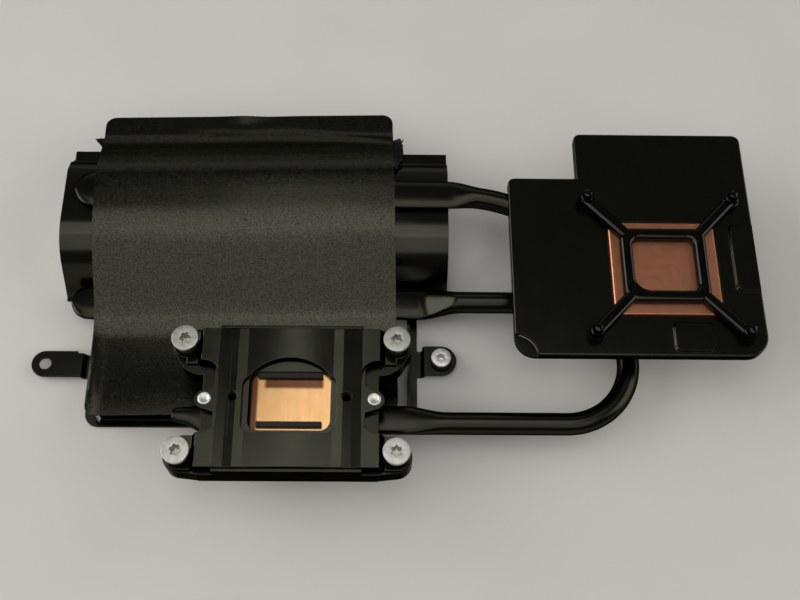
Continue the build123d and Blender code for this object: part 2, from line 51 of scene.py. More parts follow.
FLAT_DEG = 0.4
MIX_A, MIX_B, MIX_RESULT = 6, 7, 2  # colour sockets of a Mix node
Colour = tuple[float, float, float]
Socket = bpy.types.NodeSocket
DARK_EDGE = (0.3, 0.3, 0.24, 1.0)
DUST_GREY = (0.3, 0.29, 0.27, 1.0)
# dark brown painted on copper as painted shadow and painted reflection
PAINTED_SHADE_BROWN = (0.15, 0.065, 0.035, 1.0)


# finishes

class Grain(Enum):
    """Texture that a coat leaves on its surface: feature size in mm and depth in mm."""

    SMOOTH = (1.6, 0.0012)
    FINE = (0.35, 0.009)
    CAST = (0.6, 0.018)
    ORANGE_PEEL = (0.9, 0.016)


class Lay(Enum):
    """Direction of the fine lines that machining leaves: stretch along X, Y and Z."""

    ALONG_Y = (1.0, 0.04, 1.0)
    NONE = (1.0, 1.0, 1.0)


class Graph:
    """Node graph of one material, on Object coordinates."""

    def __init__(self, name: str) -> None:
        """Starts a material with an empty Principled shader."""
        self.material = bpy.data.materials.new(name)
        self.material.use_nodes = True
        self.tree = self.material.node_tree
        self.tree.nodes.clear()
        self.shader = self.tree.nodes.new("ShaderNodeBsdfPrincipled")
        out = self.tree.nodes.new("ShaderNodeOutputMaterial")
        self.tree.links.new(self.shader.outputs["BSDF"], out.inputs["Surface"])
        self.coords = self.tree.nodes.new("ShaderNodeTexCoord").outputs["Object"]

    def node(self, kind: str, inputs: dict[str | int, object],
             **settings: object) -> bpy.types.Node:
        """Adds a node.

        Args:
            kind: Node type after "ShaderNode".
            inputs: Socket name or number to a constant or to another node's output.
            settings: Properties of the node itself.

        Returns:
            The node.
        """
        made = self.tree.nodes.new("ShaderNode" + kind)
        for key, value in settings.items():
            setattr(made, key, value)
        for key, value in inputs.items():
            if isinstance(value, Socket):
                self.tree.links.new(value, made.inputs[key])
            else:
                made.inputs[key].default_value = value
        return made

    def stretched(self, lay: Lay) -> Socket:
        """Coordinates drawn out along one direction."""
        return self.node("Mapping", {"Vector": self.coords, "Scale": lay.value}).outputs["Vector"]

    def clouds(self, size_mm: float, detail: float = 2.0, coords: Socket | None = None) -> Socket:
        """Noise from 0 to 1.

        Args:
            size_mm: Size of its features.
            detail: Octaves of finer noise.
            coords: Coordinates, or None for the plain ones.

        Returns:
            The noise's value.
        """
        inputs = {"Vector": coords or self.coords, "Scale": 1 / (size_mm * MM), "Detail": detail}
        return self.node("TexNoise", inputs).outputs[0]

    def remap(self, value: Socket, low: float, high: float, start: float = 0.3,
              end: float = 0.7) -> Socket:
        """A value from start to end, spread over low to high."""
        inputs = {"Value": value, "From Min": start, "From Max": end, "To Min": low, "To Max": high}
        return self.node("MapRange", inputs).outputs["Result"]

    def blend(self, factor: Socket, first: Colour, second: Colour | Socket) -> Socket:
        """Colour between two, by a factor."""
        made = self.node("Mix", {"Factor": factor}, data_type="RGBA")
        made.inputs[MIX_A].default_value = (*first, 1)
        if isinstance(second, Socket):
            self.tree.links.new(second, made.inputs[MIX_B])
        else:
            made.inputs[MIX_B].default_value = (*second, 1)
        return made.outputs[MIX_RESULT]

    def bump(self, height: Socket, depth_mm: float, under: Socket | None = None) -> Socket:
        """Normal with a relief on it.

        Args:
            height: Relief from 0 to 1.
            depth_mm: Its full depth.
            under: Coarser relief below it.

        Returns:
            The normal.
        """
        inputs: dict[str | int, object] = {"Height": height, "Strength": 1.0,
                                           "Distance": depth_mm * MM}
        if under is not None:
            inputs["Normal"] = under
        return self.node("Bump", inputs).outputs["Normal"]

    def finish(self, linked: dict[str, Socket], constants: dict[str, object]) -> bpy.types.Material:
        """Sets the shader's sockets and hands over the material."""
        for key, socket in linked.items():
            self.tree.links.new(socket, self.shader.inputs[key])
        for key, value in constants.items():
            self.shader.inputs[key].default_value = value
        return self.material


@dataclass(frozen=True)
class BlackCoat:
    """Black paint or anodising on metal, with its grain, cloudiness and a few specks of dust."""

    name: str
    tone: Colour = (0.04, 0.04, 0.031)
    grain: Grain = Grain.FINE
    gloss: tuple[float, float] = (0.17, 0.21)
    coat: float = 0.0
    dust: float = 0.02

    def material(self) -> bpy.types.Material:
        """Returns the finished material."""
        g = Graph(self.name)
        size, depth = self.grain.value
        cloud = g.clouds(14, 3)
        fine = g.clouds(size, 3)
        specks = g.remap(g.clouds(0.9, 1), 0.0, 1.0, 0.76, 0.8)
        lighter = tuple(c * 1.12 for c in self.tone)
        ground = g.blend(g.remap(cloud, 0, 1), self.tone, lighter)
        dusty = g.node("Math", {0: specks, 1: self.dust}, operation="MULTIPLY").outputs[0]
        colour = g.node("Mix", {"Factor": dusty, MIX_A: ground, MIX_B: DUST_GREY},
                        data_type="RGBA")
        rough = g.remap(g.clouds(6, 3), *self.gloss)
        wave = g.bump(g.clouds(9, 1), depth * 2.0)
        constants = {"Metallic": 1.0, "Specular Tint": DARK_EDGE}
        if self.coat:
            constants |= {"Coat Weight": self.coat, "Coat Roughness": 0.08}
        return g.finish({"Base Color": colour.outputs[MIX_RESULT], "Roughness": rough,
                         "Normal": g.bump(fine, depth, wave)}, constants)


@dataclass(frozen=True)
class DuctFilm:
    """Matt black plastic film with a fine sparkling grain."""

    name: str = "duct_film_black"
    tone: Colour = (0.029, 0.029, 0.0222)
    light: Colour = (0.063, 0.063, 0.0483)

    def material(self) -> bpy.types.Material:
        """Returns the finished material."""
        g = Graph(self.name)
        grain = g.clouds(0.55, 4)
        colour = g.blend(g.remap(grain, 0, 1, 0.38, 0.62), self.tone, self.light)
        rough = g.remap(grain, 0.17, 0.25)
        normal = g.bump(grain, 0.045, g.bump(g.clouds(16, 2), 0.03))
        return g.finish({"Base Color": colour, "Roughness": rough, "Normal": normal},
                        {"Metallic": 1.0, "Specular Tint": DARK_EDGE})


@dataclass(frozen=True)
class BlackTape:
    """Creased black adhesive tape."""

    name: str = "tape_black"

    def material(self) -> bpy.types.Material:
        """Returns the finished material."""
        g = Graph(self.name)
        crease = g.clouds(1.3, 4)
        colour = g.blend(g.remap(crease, 0, 1), (0.002, 0.002, 0.002), (0.006, 0.006, 0.005))
        return g.finish({"Base Color": colour, "Roughness": g.remap(crease, 0.3, 0.5),
                         "Normal": g.bump(crease, 0.08)}, {"Specular IOR Level": 0.1})


@dataclass(frozen=True)
class Rubber:
    """Dull black rubber or foam."""

    name: str
    tone: Colour = (0.006, 0.006, 0.0055)
    cell_mm: float = 0.3

    def material(self) -> bpy.types.Material:
        """Returns the finished material."""
        g = Graph(self.name)
        cells = g.clouds(self.cell_mm, 3)
        light = tuple(c * 1.8 for c in self.tone)
        return g.finish({"Base Color": g.blend(g.remap(cells, 0, 1), self.tone, light),
                         "Roughness": g.remap(cells, 0.55, 0.8), "Normal": g.bump(cells, 0.02)},
                        {"Specular IOR Level": 0.25})


@dataclass(frozen=True)
class Shade:
    """Zone of painted shade on a surface: its middle, half sizes and soft border, in mm."""

    x: float
    y: float
    half_x: float
    half_y: float
    soft: float

    def factor(self, g: Graph) -> Socket:
        """1 inside the zone, 0 outside it."""
        place = g.node("SeparateXYZ", {"Vector": g.coords}).outputs
        sides = []
        for socket, middle, half in ((place[0], self.x, self.half_x),
                                     (place[1], self.y, self.half_y)):
            off = g.node("Math", {0: socket, 1: middle * MM}, operation="SUBTRACT").outputs[0]
            far = g.node("Math", {0: off}, operation="ABSOLUTE").outputs[0]
            sides.append(g.remap(far, 1, 0, half * MM, (half + self.soft) * MM))
        return g.node("Math", {0: sides[0], 1: sides[1]}, operation="MULTIPLY").outputs[0]


@dataclass(frozen=True)
class Copper:
    """Bare copper with the lines of its machining, slight stains and scratches, and zones of
    painted shade.
    """

    name: str
    bright: Colour
    stain: Colour
    lay: Lay
    gloss: tuple[float, float]
    line_depth: float
    shades: tuple[Shade, ...] = ()

    def material(self) -> bpy.types.Material:
        """Returns the finished material."""
        g = Graph(self.name)
        lines = g.clouds(0.22, 4, g.stretched(self.lay))
        cloud = g.clouds(5, 4)
        colour = g.blend(g.remap(cloud, 0, 1, 0.4, 0.68), self.bright, self.stain)
        # painted shade: each zone blends the copper towards a dark brown that stands for shadow or
        # a dark reflection
        for shade in self.shades:
            inputs = {"Factor": shade.factor(g), MIX_A: colour, MIX_B: PAINTED_SHADE_BROWN}
            colour = g.node("Mix", inputs, data_type="RGBA").outputs[MIX_RESULT]
        rough = g.remap(g.clouds(2.2, 3, g.stretched(self.lay)), *self.gloss)
        scratch = g.bump(g.remap(g.clouds(1.1, 5), 0, 1, 0.6, 0.66), self.line_depth)
        return g.finish({"Base Color": colour, "Roughness": rough,
                         "Normal": g.bump(lines, self.line_depth, scratch)}, {"Metallic": 1.0})


@dataclass(frozen=True)
class BareMetal:
    """Plated steel or plain aluminium."""

    name: str
    tone: Colour
    gloss: tuple[float, float]
    grain: Grain = Grain.FINE

    def material(self) -> bpy.types.Material:
        """Returns the finished material."""
        g = Graph(self.name)
        size, depth = self.grain.value
        cloud = g.clouds(1.4, 4)
        dark = tuple(c * 0.72 for c in self.tone)
        return g.finish({"Base Color": g.blend(g.remap(cloud, 0, 1), dark, self.tone),
                         "Roughness": g.remap(g.clouds(0.8, 3), *self.gloss),
                         "Normal": g.bump(g.clouds(size, 2), depth)}, {"Metallic": 1.0})


@dataclass(frozen=True)
class TableTop:
    """Pale, slightly mottled table below the object."""

    name: str = "table_pale"
    tone: Colour = (0.62, 0.605, 0.585)

    def material(self) -> bpy.types.Material:
        """Returns the finished material."""
        g = Graph(self.name)
        mottle = g.clouds(60, 3)
        dark = tuple(c * 0.96 for c in self.tone)
        return g.finish({"Base Color": g.blend(g.remap(mottle, 0, 1), dark, self.tone),
                         "Roughness": g.remap(mottle, 0.6, 0.7)}, {"Specular IOR Level": 0.3})


@dataclass(frozen=True)
class Palette:
    """All finishes of the heatsink, made once."""

    satin: bpy.types.Material
    pipe: bpy.types.Material
    film: bpy.types.Material
    tape: bpy.types.Material
    rubber: bpy.types.Material
    foam: bpy.types.Material
    cast: bpy.types.Material
    plate: bpy.types.Material
    pan: bpy.types.Material
    gloss: bpy.types.Material
    cpu_copper: bpy.types.Material
    gpu_copper: bpy.types.Material
    screw: bpy.types.Material
    bright: bpy.types.Material
    fins: bpy.types.Material

    @classmethod
    def mixed(cls) -> "Palette":
        """Returns the palette with every material built."""
        return cls(
            satin=BlackCoat("satin_black").material(),
            pipe=BlackCoat("pipe_black", (0.03, 0.03, 0.0235), Grain.SMOOTH,
                           (0.19, 0.24)).material(),
            film=DuctFilm().material(),
            tape=BlackTape().material(),
            rubber=Rubber("rubber_black").material(),
            foam=Rubber("foam_black", (0.012, 0.009, 0.007), 0.5).material(),
            cast=BlackCoat("cast_black", (0.03, 0.03, 0.023), Grain.CAST,
                           (0.18, 0.23)).material(),
            plate=BlackCoat("plate_black").material(),
            pan=BlackCoat("pan_black", grain=Grain.ORANGE_PEEL, gloss=(0.17, 0.2)).material(),
            gloss=BlackCoat("gloss_black", (0.022, 0.022, 0.018), Grain.SMOOTH,
                            (0.11, 0.15), 0.25).material(),
            # CPU copper zones: painted shadow in front of the back foam strip, and a painted
            # reflection of the window's dark wall along the left edge
            cpu_copper=Copper("cpu_copper", (0.82, 0.48, 0.22), (0.78, 0.44, 0.19), Lay.ALONG_Y,
                              (0.2, 0.25), 0.003, (Shade(-33.0, -41.9, 9.4, 1.5, 1.0),
                                                   Shade(-47.6, -48.0, 2.0, 13.0, 0.8))).material(),
            gpu_copper=Copper("gpu_copper", (0.64, 0.27, 0.15), (0.56, 0.24, 0.14), Lay.NONE,
                              (0.32, 0.37), 0.0006).material(),
            screw=BareMetal("screw_matt", (0.6, 0.6, 0.55), (0.3, 0.38)).material(),
            bright=BareMetal("steel_bright", (0.8, 0.8, 0.77), (0.36, 0.46),
                             Grain.SMOOTH).material(),
            fins=BareMetal("fin_aluminium", (0.6, 0.6, 0.61), (0.35, 0.5)).material())


# shapes

def put(bm: bmesh.types.BMesh, name: str, finish: bpy.types.Material,
        stands_for: Sequence[str], sharp: float = 38.0) -> bpy.types.Object:
    """Turns a finished bmesh into a piece on the heatsink.

    Args:
        bm: The shape, in metres, in its place; it is freed.
        name: Name of the piece.
        finish: Its material.
        stands_for: CAD nodes that it replaces.
        sharp: Angle in degrees above which an edge stays sharp.

    Returns:
        The object.
    """
    mesh = bpy.data.meshes.new(name)
    bm.to_mesh(mesh)
    bm.free()
    mesh.materials.append(finish)
    mesh.shade_smooth()
    mesh.set_sharp_from_angle(angle=math.radians(sharp))
    piece = bpy.data.objects.new(name, mesh)
    bpy.context.scene.collection.objects.link(piece)
    weighted = piece.modifiers.new("even_normals", "WEIGHTED_NORMAL")
    weighted.keep_sharp = True
    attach(piece, BODY)
    if stands_for:
        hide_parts(*stands_for)
    LOG.info("%s: %d faces", name, len(mesh.polygons))
    return piece


def dress(node: str, finish: bpy.types.Material) -> None:
    """Gives a CAD node, which keeps its own mesh, its finish."""
    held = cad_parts[node]
    held.data.materials.clear()
    held.data.materials.append(finish)
    LOG.info("%s: as built", node)


def softened(node: str, radius_mm: float, segments: int = 2,
             sharp: float = 38.0) -> bmesh.types.BMesh:
    """A CAD node's shape, merged, with its sharp edges rounded.

    Args:
        node: The CAD node.
        radius_mm: Width of the rounding.
        segments: Steps in it.
        sharp: Angle in degrees above which an edge is rounded.

    Returns:
        The shape.
    """
    bm = bmesh.new()
    bm.from_mesh(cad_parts[node].data)
    bmesh.ops.remove_doubles(bm, verts=bm.verts, dist=MERGE)
    bmesh.ops.dissolve_limit(bm, angle_limit=math.radians(FLAT_DEG), verts=bm.verts, edges=bm.edges)
    edges = [e for e in bm.edges if e.is_manifold and e.calc_face_angle(0.0) > math.radians(sharp)]
    bmesh.ops.bevel(bm, geom=edges, offset=radius_mm * MM, offset_type="OFFSET", segments=segments,
                    profile=0.5, affect="EDGES", clamp_overlap=False, material=-1)
    return bm


def turned(bm: bmesh.types.BMesh, profile: Sequence[tuple[float, float]], x: float, y: float,
           steps: int = 48) -> None:
    """Spins a profile round an upright axis.

    Args:
        bm: Mesh to add to.
        profile: (radius, height) points in mm, in order.
        x: Axis, in mm.
        y: Axis, in mm.
        steps: Divisions of the full turn.
    """
    centre = Vector((x, y, 0)) * MM
    verts = [bm.verts.new(centre + Vector((r, 0, z)) * MM) for r, z in profile]
    edges = [bm.edges.new(pair) for pair in zip(verts, verts[1:])]
    bmesh.ops.spin(bm, geom=verts + edges, cent=centre, axis=(0, 0, 1), dvec=(0, 0, 0),
                   angle=math.tau, steps=steps, use_merge=True)
    bmesh.ops.remove_doubles(bm, verts=bm.verts, dist=POLE_MERGE)


def tidied(bm: bmesh.types.BMesh) -> bmesh.types.BMesh:
    """Closes doubles and turns every face outwards."""
    bmesh.ops.remove_doubles(bm, verts=bm.verts, dist=MERGE)
    bmesh.ops.recalc_face_normals(bm, faces=bm.faces)
    return bm


@dataclass
class SixLobeScrew:
    """Flat-headed screw with a six-lobe recess; sizes in mm."""

    head_r: float
    head_t: float
    recess_r: float
    recess_depth: float
    shank_r: float
    rim: float = 0.3
    turn: float = 0.0

    def shape(self, verts: Sequence[bmesh.types.BMVert], centre: Vector, z: float, radius: float,
              lobes: float = 0.0) -> None:
        """Moves a ring of vertices to its height and outline.

        Args:
            verts: The ring.
            centre: Axis of the screw, in metres.
            z: Height, in mm.
            radius: Mean radius, in mm.
            lobes: Share of the radius that the six lobes swing by.
        """
        for v in verts:
            angle = math.atan2(v.co.y - centre.y, v.co.x - centre.x)
            r = radius * (1 + lobes * math.cos(6 * (angle + self.turn)))
            v.co = centre + Vector((r * math.cos(angle), r * math.sin(angle), z)) * MM

    def add(self, bm: bmesh.types.BMesh, x: float, y: float, top: float, foot: float) -> None:
        """Adds one screw, drawn on from ring to ring.

        Args:
            bm: Mesh to add to.
            x: Axis, in mm.
            y: Axis, in mm.
            top: Height of the head's face.
            foot: Height of the shank's end.
        """
        under, c, centre = top - self.head_t, self.recess_r, Vector((x, y, 0)) * MM
        floor, edge = top - self.recess_depth, 0.3 * self.rim
        rings = [(foot, self.shank_r - 0.3), (foot + 0.3, self.shank_r), (under, self.shank_r),
                 (under, self.head_r - 0.1), (under + 0.1, self.head_r),
                 (top - self.rim, self.head_r), (top - edge, self.head_r - edge),
                 (top, self.head_r - self.rim), (top - 0.02, c * 1.16, 0.11),
                 (top - 0.05, c * 1.02, 0.14), (top - 0.14, c * 0.96, 0.15),
                 (floor, c * 0.9, 0.15), (floor - 0.15, c * 0.3)]
        verts = bmesh.ops.create_circle(bm, cap_ends=False, segments=72, radius=self.shank_r * MM,
                                        matrix=Matrix.Translation(centre))["verts"]
        edges = first = list({e for v in verts for e in v.link_edges})
        self.shape(verts, centre, *rings[0])
        for ring in rings[1:]:
            drawn = bmesh.ops.extrude_edge_only(bm, edges=edges)["geom"]
            verts = [part for part in drawn if isinstance(part, bmesh.types.BMVert)]
            edges = [part for part in drawn if isinstance(part, bmesh.types.BMEdge)
                     and all(v in verts for v in part.verts)]
            self.shape(verts, centre, *ring)
        bmesh.ops.holes_fill(bm, edges=first + edges, sides=0)


# sub-assemblies

@dataclass(frozen=True)
class Swell:
    """Soft hump or dent in the film; sizes in mm."""

    x: float
    y: float
    reach_x: float
    reach_y: float
    height: float

    def at(self, x: float, y: float) -> float:
        """Height of the swell at a point."""
        far = ((x - self.x) / self.reach_x) ** 2 + ((y - self.y) / self.reach_y) ** 2
        return self.height * math.exp(-far)


@dataclass
class FilmDuct:
    """Thin film over the stack, its tape, the frame below it and the ear's screw; sizes in mm."""

    paint: Palette
    x0: float = -109.8
    x1: float = 1.6
    y_back: float = 73.8
    y_front: float = -44.8
    turn_deg: float = 1.3
    thickness: float = 0.3
    corner: float = 4.0
    profile: tuple[tuple[float, float], ...] = (
        (73.8, 20.2), (66.0, 20.3), (62.0, 21.2), (57.0, 23.2), (52.0, 25.1), (47.5, 26.4),
        (44.0, 26.75), (40.0, 26.6), (35.0, 26.25), (30.0, 25.8), (24.5, 24.8), (18.0, 22.4),
        (8.0, 16.7), (-3.0, 10.2), (-9.0, 8.3), (-15.0, 7.75), (-44.8, 9.4))
    swells: tuple[Swell, ...] = (
        Swell(-56, 76, 7, 5, 0.7), Swell(-48, 70, 8, 7, -0.4),
        Swell(-108, -30, 2.6, 14, 0.7), Swell(-60, 12, 30, 8, 0.25), Swell(-86, -28, 18, 9, -0.2))
    fold_y: float = 65.5
    fold_rise: float = 0.3
    fold_half: float = 1.8
    point_x: float = -110.4
    point_y: float = 62.2
    point_z: float = 19.7
    point_reach: float = 4.6
    point_height: float = 6.2
    crumple_y: float = 61.0
    crumple_z: float = 23.2
    crumple_length: float = 14.0
    scrap_t: float = 0.18
    ear_x: float = 18.3
    ear_y: float = -22.9

    def height(self, y: float) -> float:
        """Height of the film's upper side, smooth through the profile's points."""
        knots = self.profile
        i = next((k for k in range(len(knots) - 2) if y >= knots[k + 1][0]), len(knots) - 2)
        (ya, za), (yb, zb) = knots[i], knots[i + 1]
        step = ya - yb

        def slope(k: int) -> float:
            """Slope at a knot, nil at a crest or a flat."""
            if k == 0 or k == len(knots) - 1:
                return 0.0
            before = (knots[k][1] - knots[k - 1][1]) / (knots[k - 1][0] - knots[k][0])
            after = (knots[k + 1][1] - knots[k][1]) / (knots[k][0] - knots[k + 1][0])
            return 0.0 if before * after <= 0 else 2 * before * after / (before + after)

        t = (ya - y) / step
        m0, m1 = slope(i) * step, slope(i + 1) * step
        return ((2 * t**3 - 3 * t**2 + 1) * za + (t**3 - 2 * t**2 + t) * m0
                + (3 * t**2 - 2 * t**3) * zb + (t**3 - t**2) * m1)

    def fold(self, x: float, y: float) -> float:
        """Height of the arched crease below the free flap."""
        line = self.fold_y - 4.5 * max(0.0, (x + 40) / 40) ** 1.5
        fade = min(1.0, max(0.0, (x + 82) / 14))
        return self.fold_rise * fade * math.exp(-((y - line) / self.fold_half) ** 2)

    def laid(self, u: float, v: float) -> Vector:
        """Point of the film's upper side, in metres.

        Args:
            u: 0 at the left edge, 1 at the right edge.
            v: 0 at the back edge, 1 at the front edge.

        Returns:
            The point.
        """
        width, depth, r = self.x1 - self.x0, self.y_back - self.y_front, self.corner
        x, y = u * width, v * depth
        side, end = min(x, width - x), min(y, depth - y)
        if side < r and end < r:
            a, b = r - side, r - end
            k = max(a, b) / math.hypot(a, b)
            side_new, end_new = r - a * k, r - b * k
            x = side_new if x < width / 2 else width - side_new
            y = end_new if y < depth / 2 else depth - end_new
        x, y = self.x0 + x, self.y_back - y
        z = self.height(y) + self.fold(x, y) + sum(s.at(x, y) for s in self.swells)
        z += 0.12 * noise.noise(Vector((x / 22, y / 30, 0.3)))
        turned_by = Matrix.Rotation(math.radians(self.turn_deg), 3, "Z")
        return turned_by @ Vector((x, y, z)) * MM

    def film(self) -> bpy.types.Object:
        """Returns the film, shaped from a grid and given its thickness."""
        bm = bmesh.new()
        bmesh.ops.create_grid(bm, x_segments=150, y_segments=170, size=0.5)
        for v in bm.verts:
            v.co = self.laid(v.co.x + 0.5, 0.5 - v.co.y)
        bmesh.ops.recalc_face_normals(bm, faces=bm.faces)
        if sum(f.normal.z for f in bm.faces) < 0:
            bmesh.ops.reverse_faces(bm, faces=bm.faces)
        bmesh.ops.solidify(bm, geom=bm.faces, thickness=self.thickness * MM)
        return put(tidied(bm), "duct_film_skin", self.paint.film, ["duct_film"], 50)

    def left_point(self, u: float, t: float, rag: float) -> Vector:
        """Point of the left scrap, which tapers to its tip.

        Args:
            u: 0 at its tip, 1 at the film.
            t: 0 at its back end, 1 at its front end.
            rag: Raggedness there.

        Returns:
            The point, in metres.
        """
        reach = self.point_reach * (1 - t) ** 0.8
        return Vector((self.point_x - reach * (1 - u),
                       self.point_y - self.point_height * t + 1.2 * (1 - u) * (t - 0.25),
                       self.point_z + 0.5 * rag * (1 - u))) * MM

    def right_crumple(self, u: float, t: float, rag: float) -> Vector:
        """Point of the right scrap, which hangs crumpled on the film's edge.

        Args:
            u: 0 at the film, 1 at its free edge.
            t: 0 at its back end, 1 at its front end.
            rag: Raggedness there.

        Returns:
            The point, in metres.
        """
        x = (1.8 + 2.2 * math.sin(math.pi * min(1.0, t + 0.1)) + 1.1 * rag) * u
        y, outer = self.crumple_y - self.crumple_length * t, self.crumple_z + 0.5 * rag
        z = outer + (self.height(y) - 0.45 - outer) * (1 - u)
        return Vector((x, y + 0.5 * rag * u, z)) * MM

    def tabs(self) -> bpy.types.Object:
        """Returns the two scraps of tape: a point on the left, a crumpled strip on the right."""
        bm = bmesh.new()
        for side, shaped in enumerate((self.left_point, self.right_crumple)):
            made = bmesh.ops.create_grid(bm, x_segments=10, y_segments=26, size=0.5)["verts"]
            for v in made:
                u, t = v.co.x + 0.5, 0.5 - v.co.y
                v.co = shaped(u, t, noise.noise(Vector((u * 3.1, t * 9.0, 4.0 + side))))
        bmesh.ops.recalc_face_normals(bm, faces=bm.faces)
        bmesh.ops.solidify(bm, geom=bm.faces, thickness=self.scrap_t * MM)
        return put(tidied(bm), "tape_scraps", self.paint.tape, ["film_tabs"], 30)

    def ear_hardware(self) -> None:
        """Screw and rubber collar on the right ear."""
        bm = bmesh.new()
        screw = SixLobeScrew(head_r=3.6, head_t=1.2, recess_r=1.42, recess_depth=3.5,
                             shank_r=1.5, turn=0.3)
        screw.add(bm, self.ear_x, self.ear_y, top=6.8, foot=0.4)
        put(tidied(bm), "ear_screw_bright", self.paint.bright, ["ear_screw"], 32)
        bm = bmesh.new()
        turned(bm, [(1.8, 3.2), (3.55, 3.2), (3.9, 3.5), (3.9, 4.3), (3.72, 4.4), (3.9, 4.5),
                    (3.9, 5.25), (3.6, 5.6), (1.8, 5.6), (1.8, 3.2)], self.ear_x, self.ear_y, 64)
        put(tidied(bm), "ear_collar_ring", self.paint.rubber, ["ear_collar"], 32)

    def build(self) -> None:
        """Makes the film, the tape, the frame and the ear's screw."""
        self.film()
        self.tabs()
        put(softened("duct_frame", 0.18), "duct_frame_sheet", self.paint.satin,
            ["duct_frame"])
        self.ear_hardware()


@dataclass
class FinStack:
    """Fins between a base sheet and a bent casing, with the stepped strip behind; sizes in mm."""

    paint: Palette
    edge: float = 0.12

    def build(self) -> None:
        """Softens the sheets and dresses the fins."""
        for node in ("fin_casing", "back_strip", "fin_base_plate"):
            put(softened(node, self.edge), node + "_sheet", self.paint.satin,
                [node], 30)
        dress("fins", self.paint.fins)


@dataclass(frozen=True)
class Cut:
    """Cross-section of a flattened pipe: centre, width and height in mm, heading in degrees."""

    x: float
    y: float
    z: float
    width: float
    height: float
    heading: float = 0.0

    def ahead(self) -> Vector:
        """Unit vector along the pipe."""
        turn = math.radians(self.heading)
        return Vector((math.cos(turn), math.sin(turn), 0))

    def ring(self, bm: bmesh.types.BMesh, steps: int = 56) -> list[bmesh.types.BMEdge]:
        """Adds the outline, an oval that is squarer where it is flatter, and returns its edges."""
        half_step = Matrix.Rotation(math.pi / steps, 4, "Z")
        made = bmesh.ops.create_circle(bm, cap_ends=False, segments=steps, radius=1.0,
                                       matrix=half_step)["verts"]
        right = self.ahead().cross(Vector((0, 0, 1)))
        power = 2 / (2 + 0.6 * (1 - self.height / self.width))
        for v in made:
            across = math.copysign(abs(v.co.x) ** power, v.co.x) * self.width / 2
            rise = math.copysign(abs(v.co.y) ** power, v.co.y) * self.height / 2
            v.co = (Vector((self.x, self.y, self.z + rise)) + right * across) * MM
        return list({e for v in made for e in v.link_edges})


class PipeRun:
    """Pipe drawn on from cut to cut."""

    def __init__(self, tip: Cut) -> None:
        """Starts with a round end.

        Args:
            tip: Full section where the round end begins; the end lies behind it.
        """
        self.cuts = self.rounded_end(tip, -1)

    @staticmethod
    def rounded_end(full: Cut, side: int) -> list[Cut]:
        """Cuts of a half-round end, from its tip to the full section."""
        r, cuts = full.width / 2, []
        for s in (0.01, 0.03, 0.08, 0.16, 0.28, 0.45, 0.7, 1.0):
            width = 2 * r * math.sqrt(s * (2 - s))
            place = Vector((full.x, full.y, full.z)) + full.ahead() * side * r * (1 - s)
            cuts.append(Cut(*place, width, min(full.height, width), full.heading))
        return cuts

    def ease(self, to: Cut, steps: int = 28) -> "PipeRun":
        """Goes on to another section, with both ends of the change smooth."""
        last = self.cuts[-1]
        start, end = Vector((last.x, last.y, last.z)), Vector((to.x, to.y, to.z))
        third = (end - start).length / 3
        path = interpolate_bezier(start, start + last.ahead() * third, end - to.ahead() * third,
                                  end, steps + 1)
        for i, place in enumerate(path[1:], 1):
            t = i / steps
            k = t * t * (3 - 2 * t)
            self.cuts.append(Cut(*place, last.width + (to.width - last.width) * k,
                                 last.height + (to.height - last.height) * k,
                                 last.heading + (to.heading - last.heading) * k))
        return self

    def bend(self, radius: float, turn: float, steps: int = 40) -> "PipeRun":
        """Turns right by some degrees round a level bend."""
        last = self.cuts[-1]
        centre = Vector((last.x, last.y, last.z)) + last.ahead().cross(Vector((0, 0, 1))) * radius
        for i in range(1, steps + 1):
            heading = last.heading - turn * i / steps
            out = Vector((math.cos(math.radians(heading)), math.sin(math.radians(heading)), 0))
            place = centre - out.cross(Vector((0, 0, 1))) * radius
            self.cuts.append(Cut(*place, last.width, last.height, heading))
        return self

    def close(self) -> bmesh.types.BMesh:
        """Ends with a round end and returns the pipe."""
        self.cuts += reversed(self.rounded_end(self.cuts.pop(), 1))
        bm = bmesh.new()
        loops = [cut.ring(bm) for cut in self.cuts]
        for first, second in zip(loops, loops[1:]):
            bmesh.ops.bridge_loops(bm, edges=first + second)
        bmesh.ops.holes_fill(bm, edges=loops[0] + loops[-1], sides=0)
        return tidied(bm)


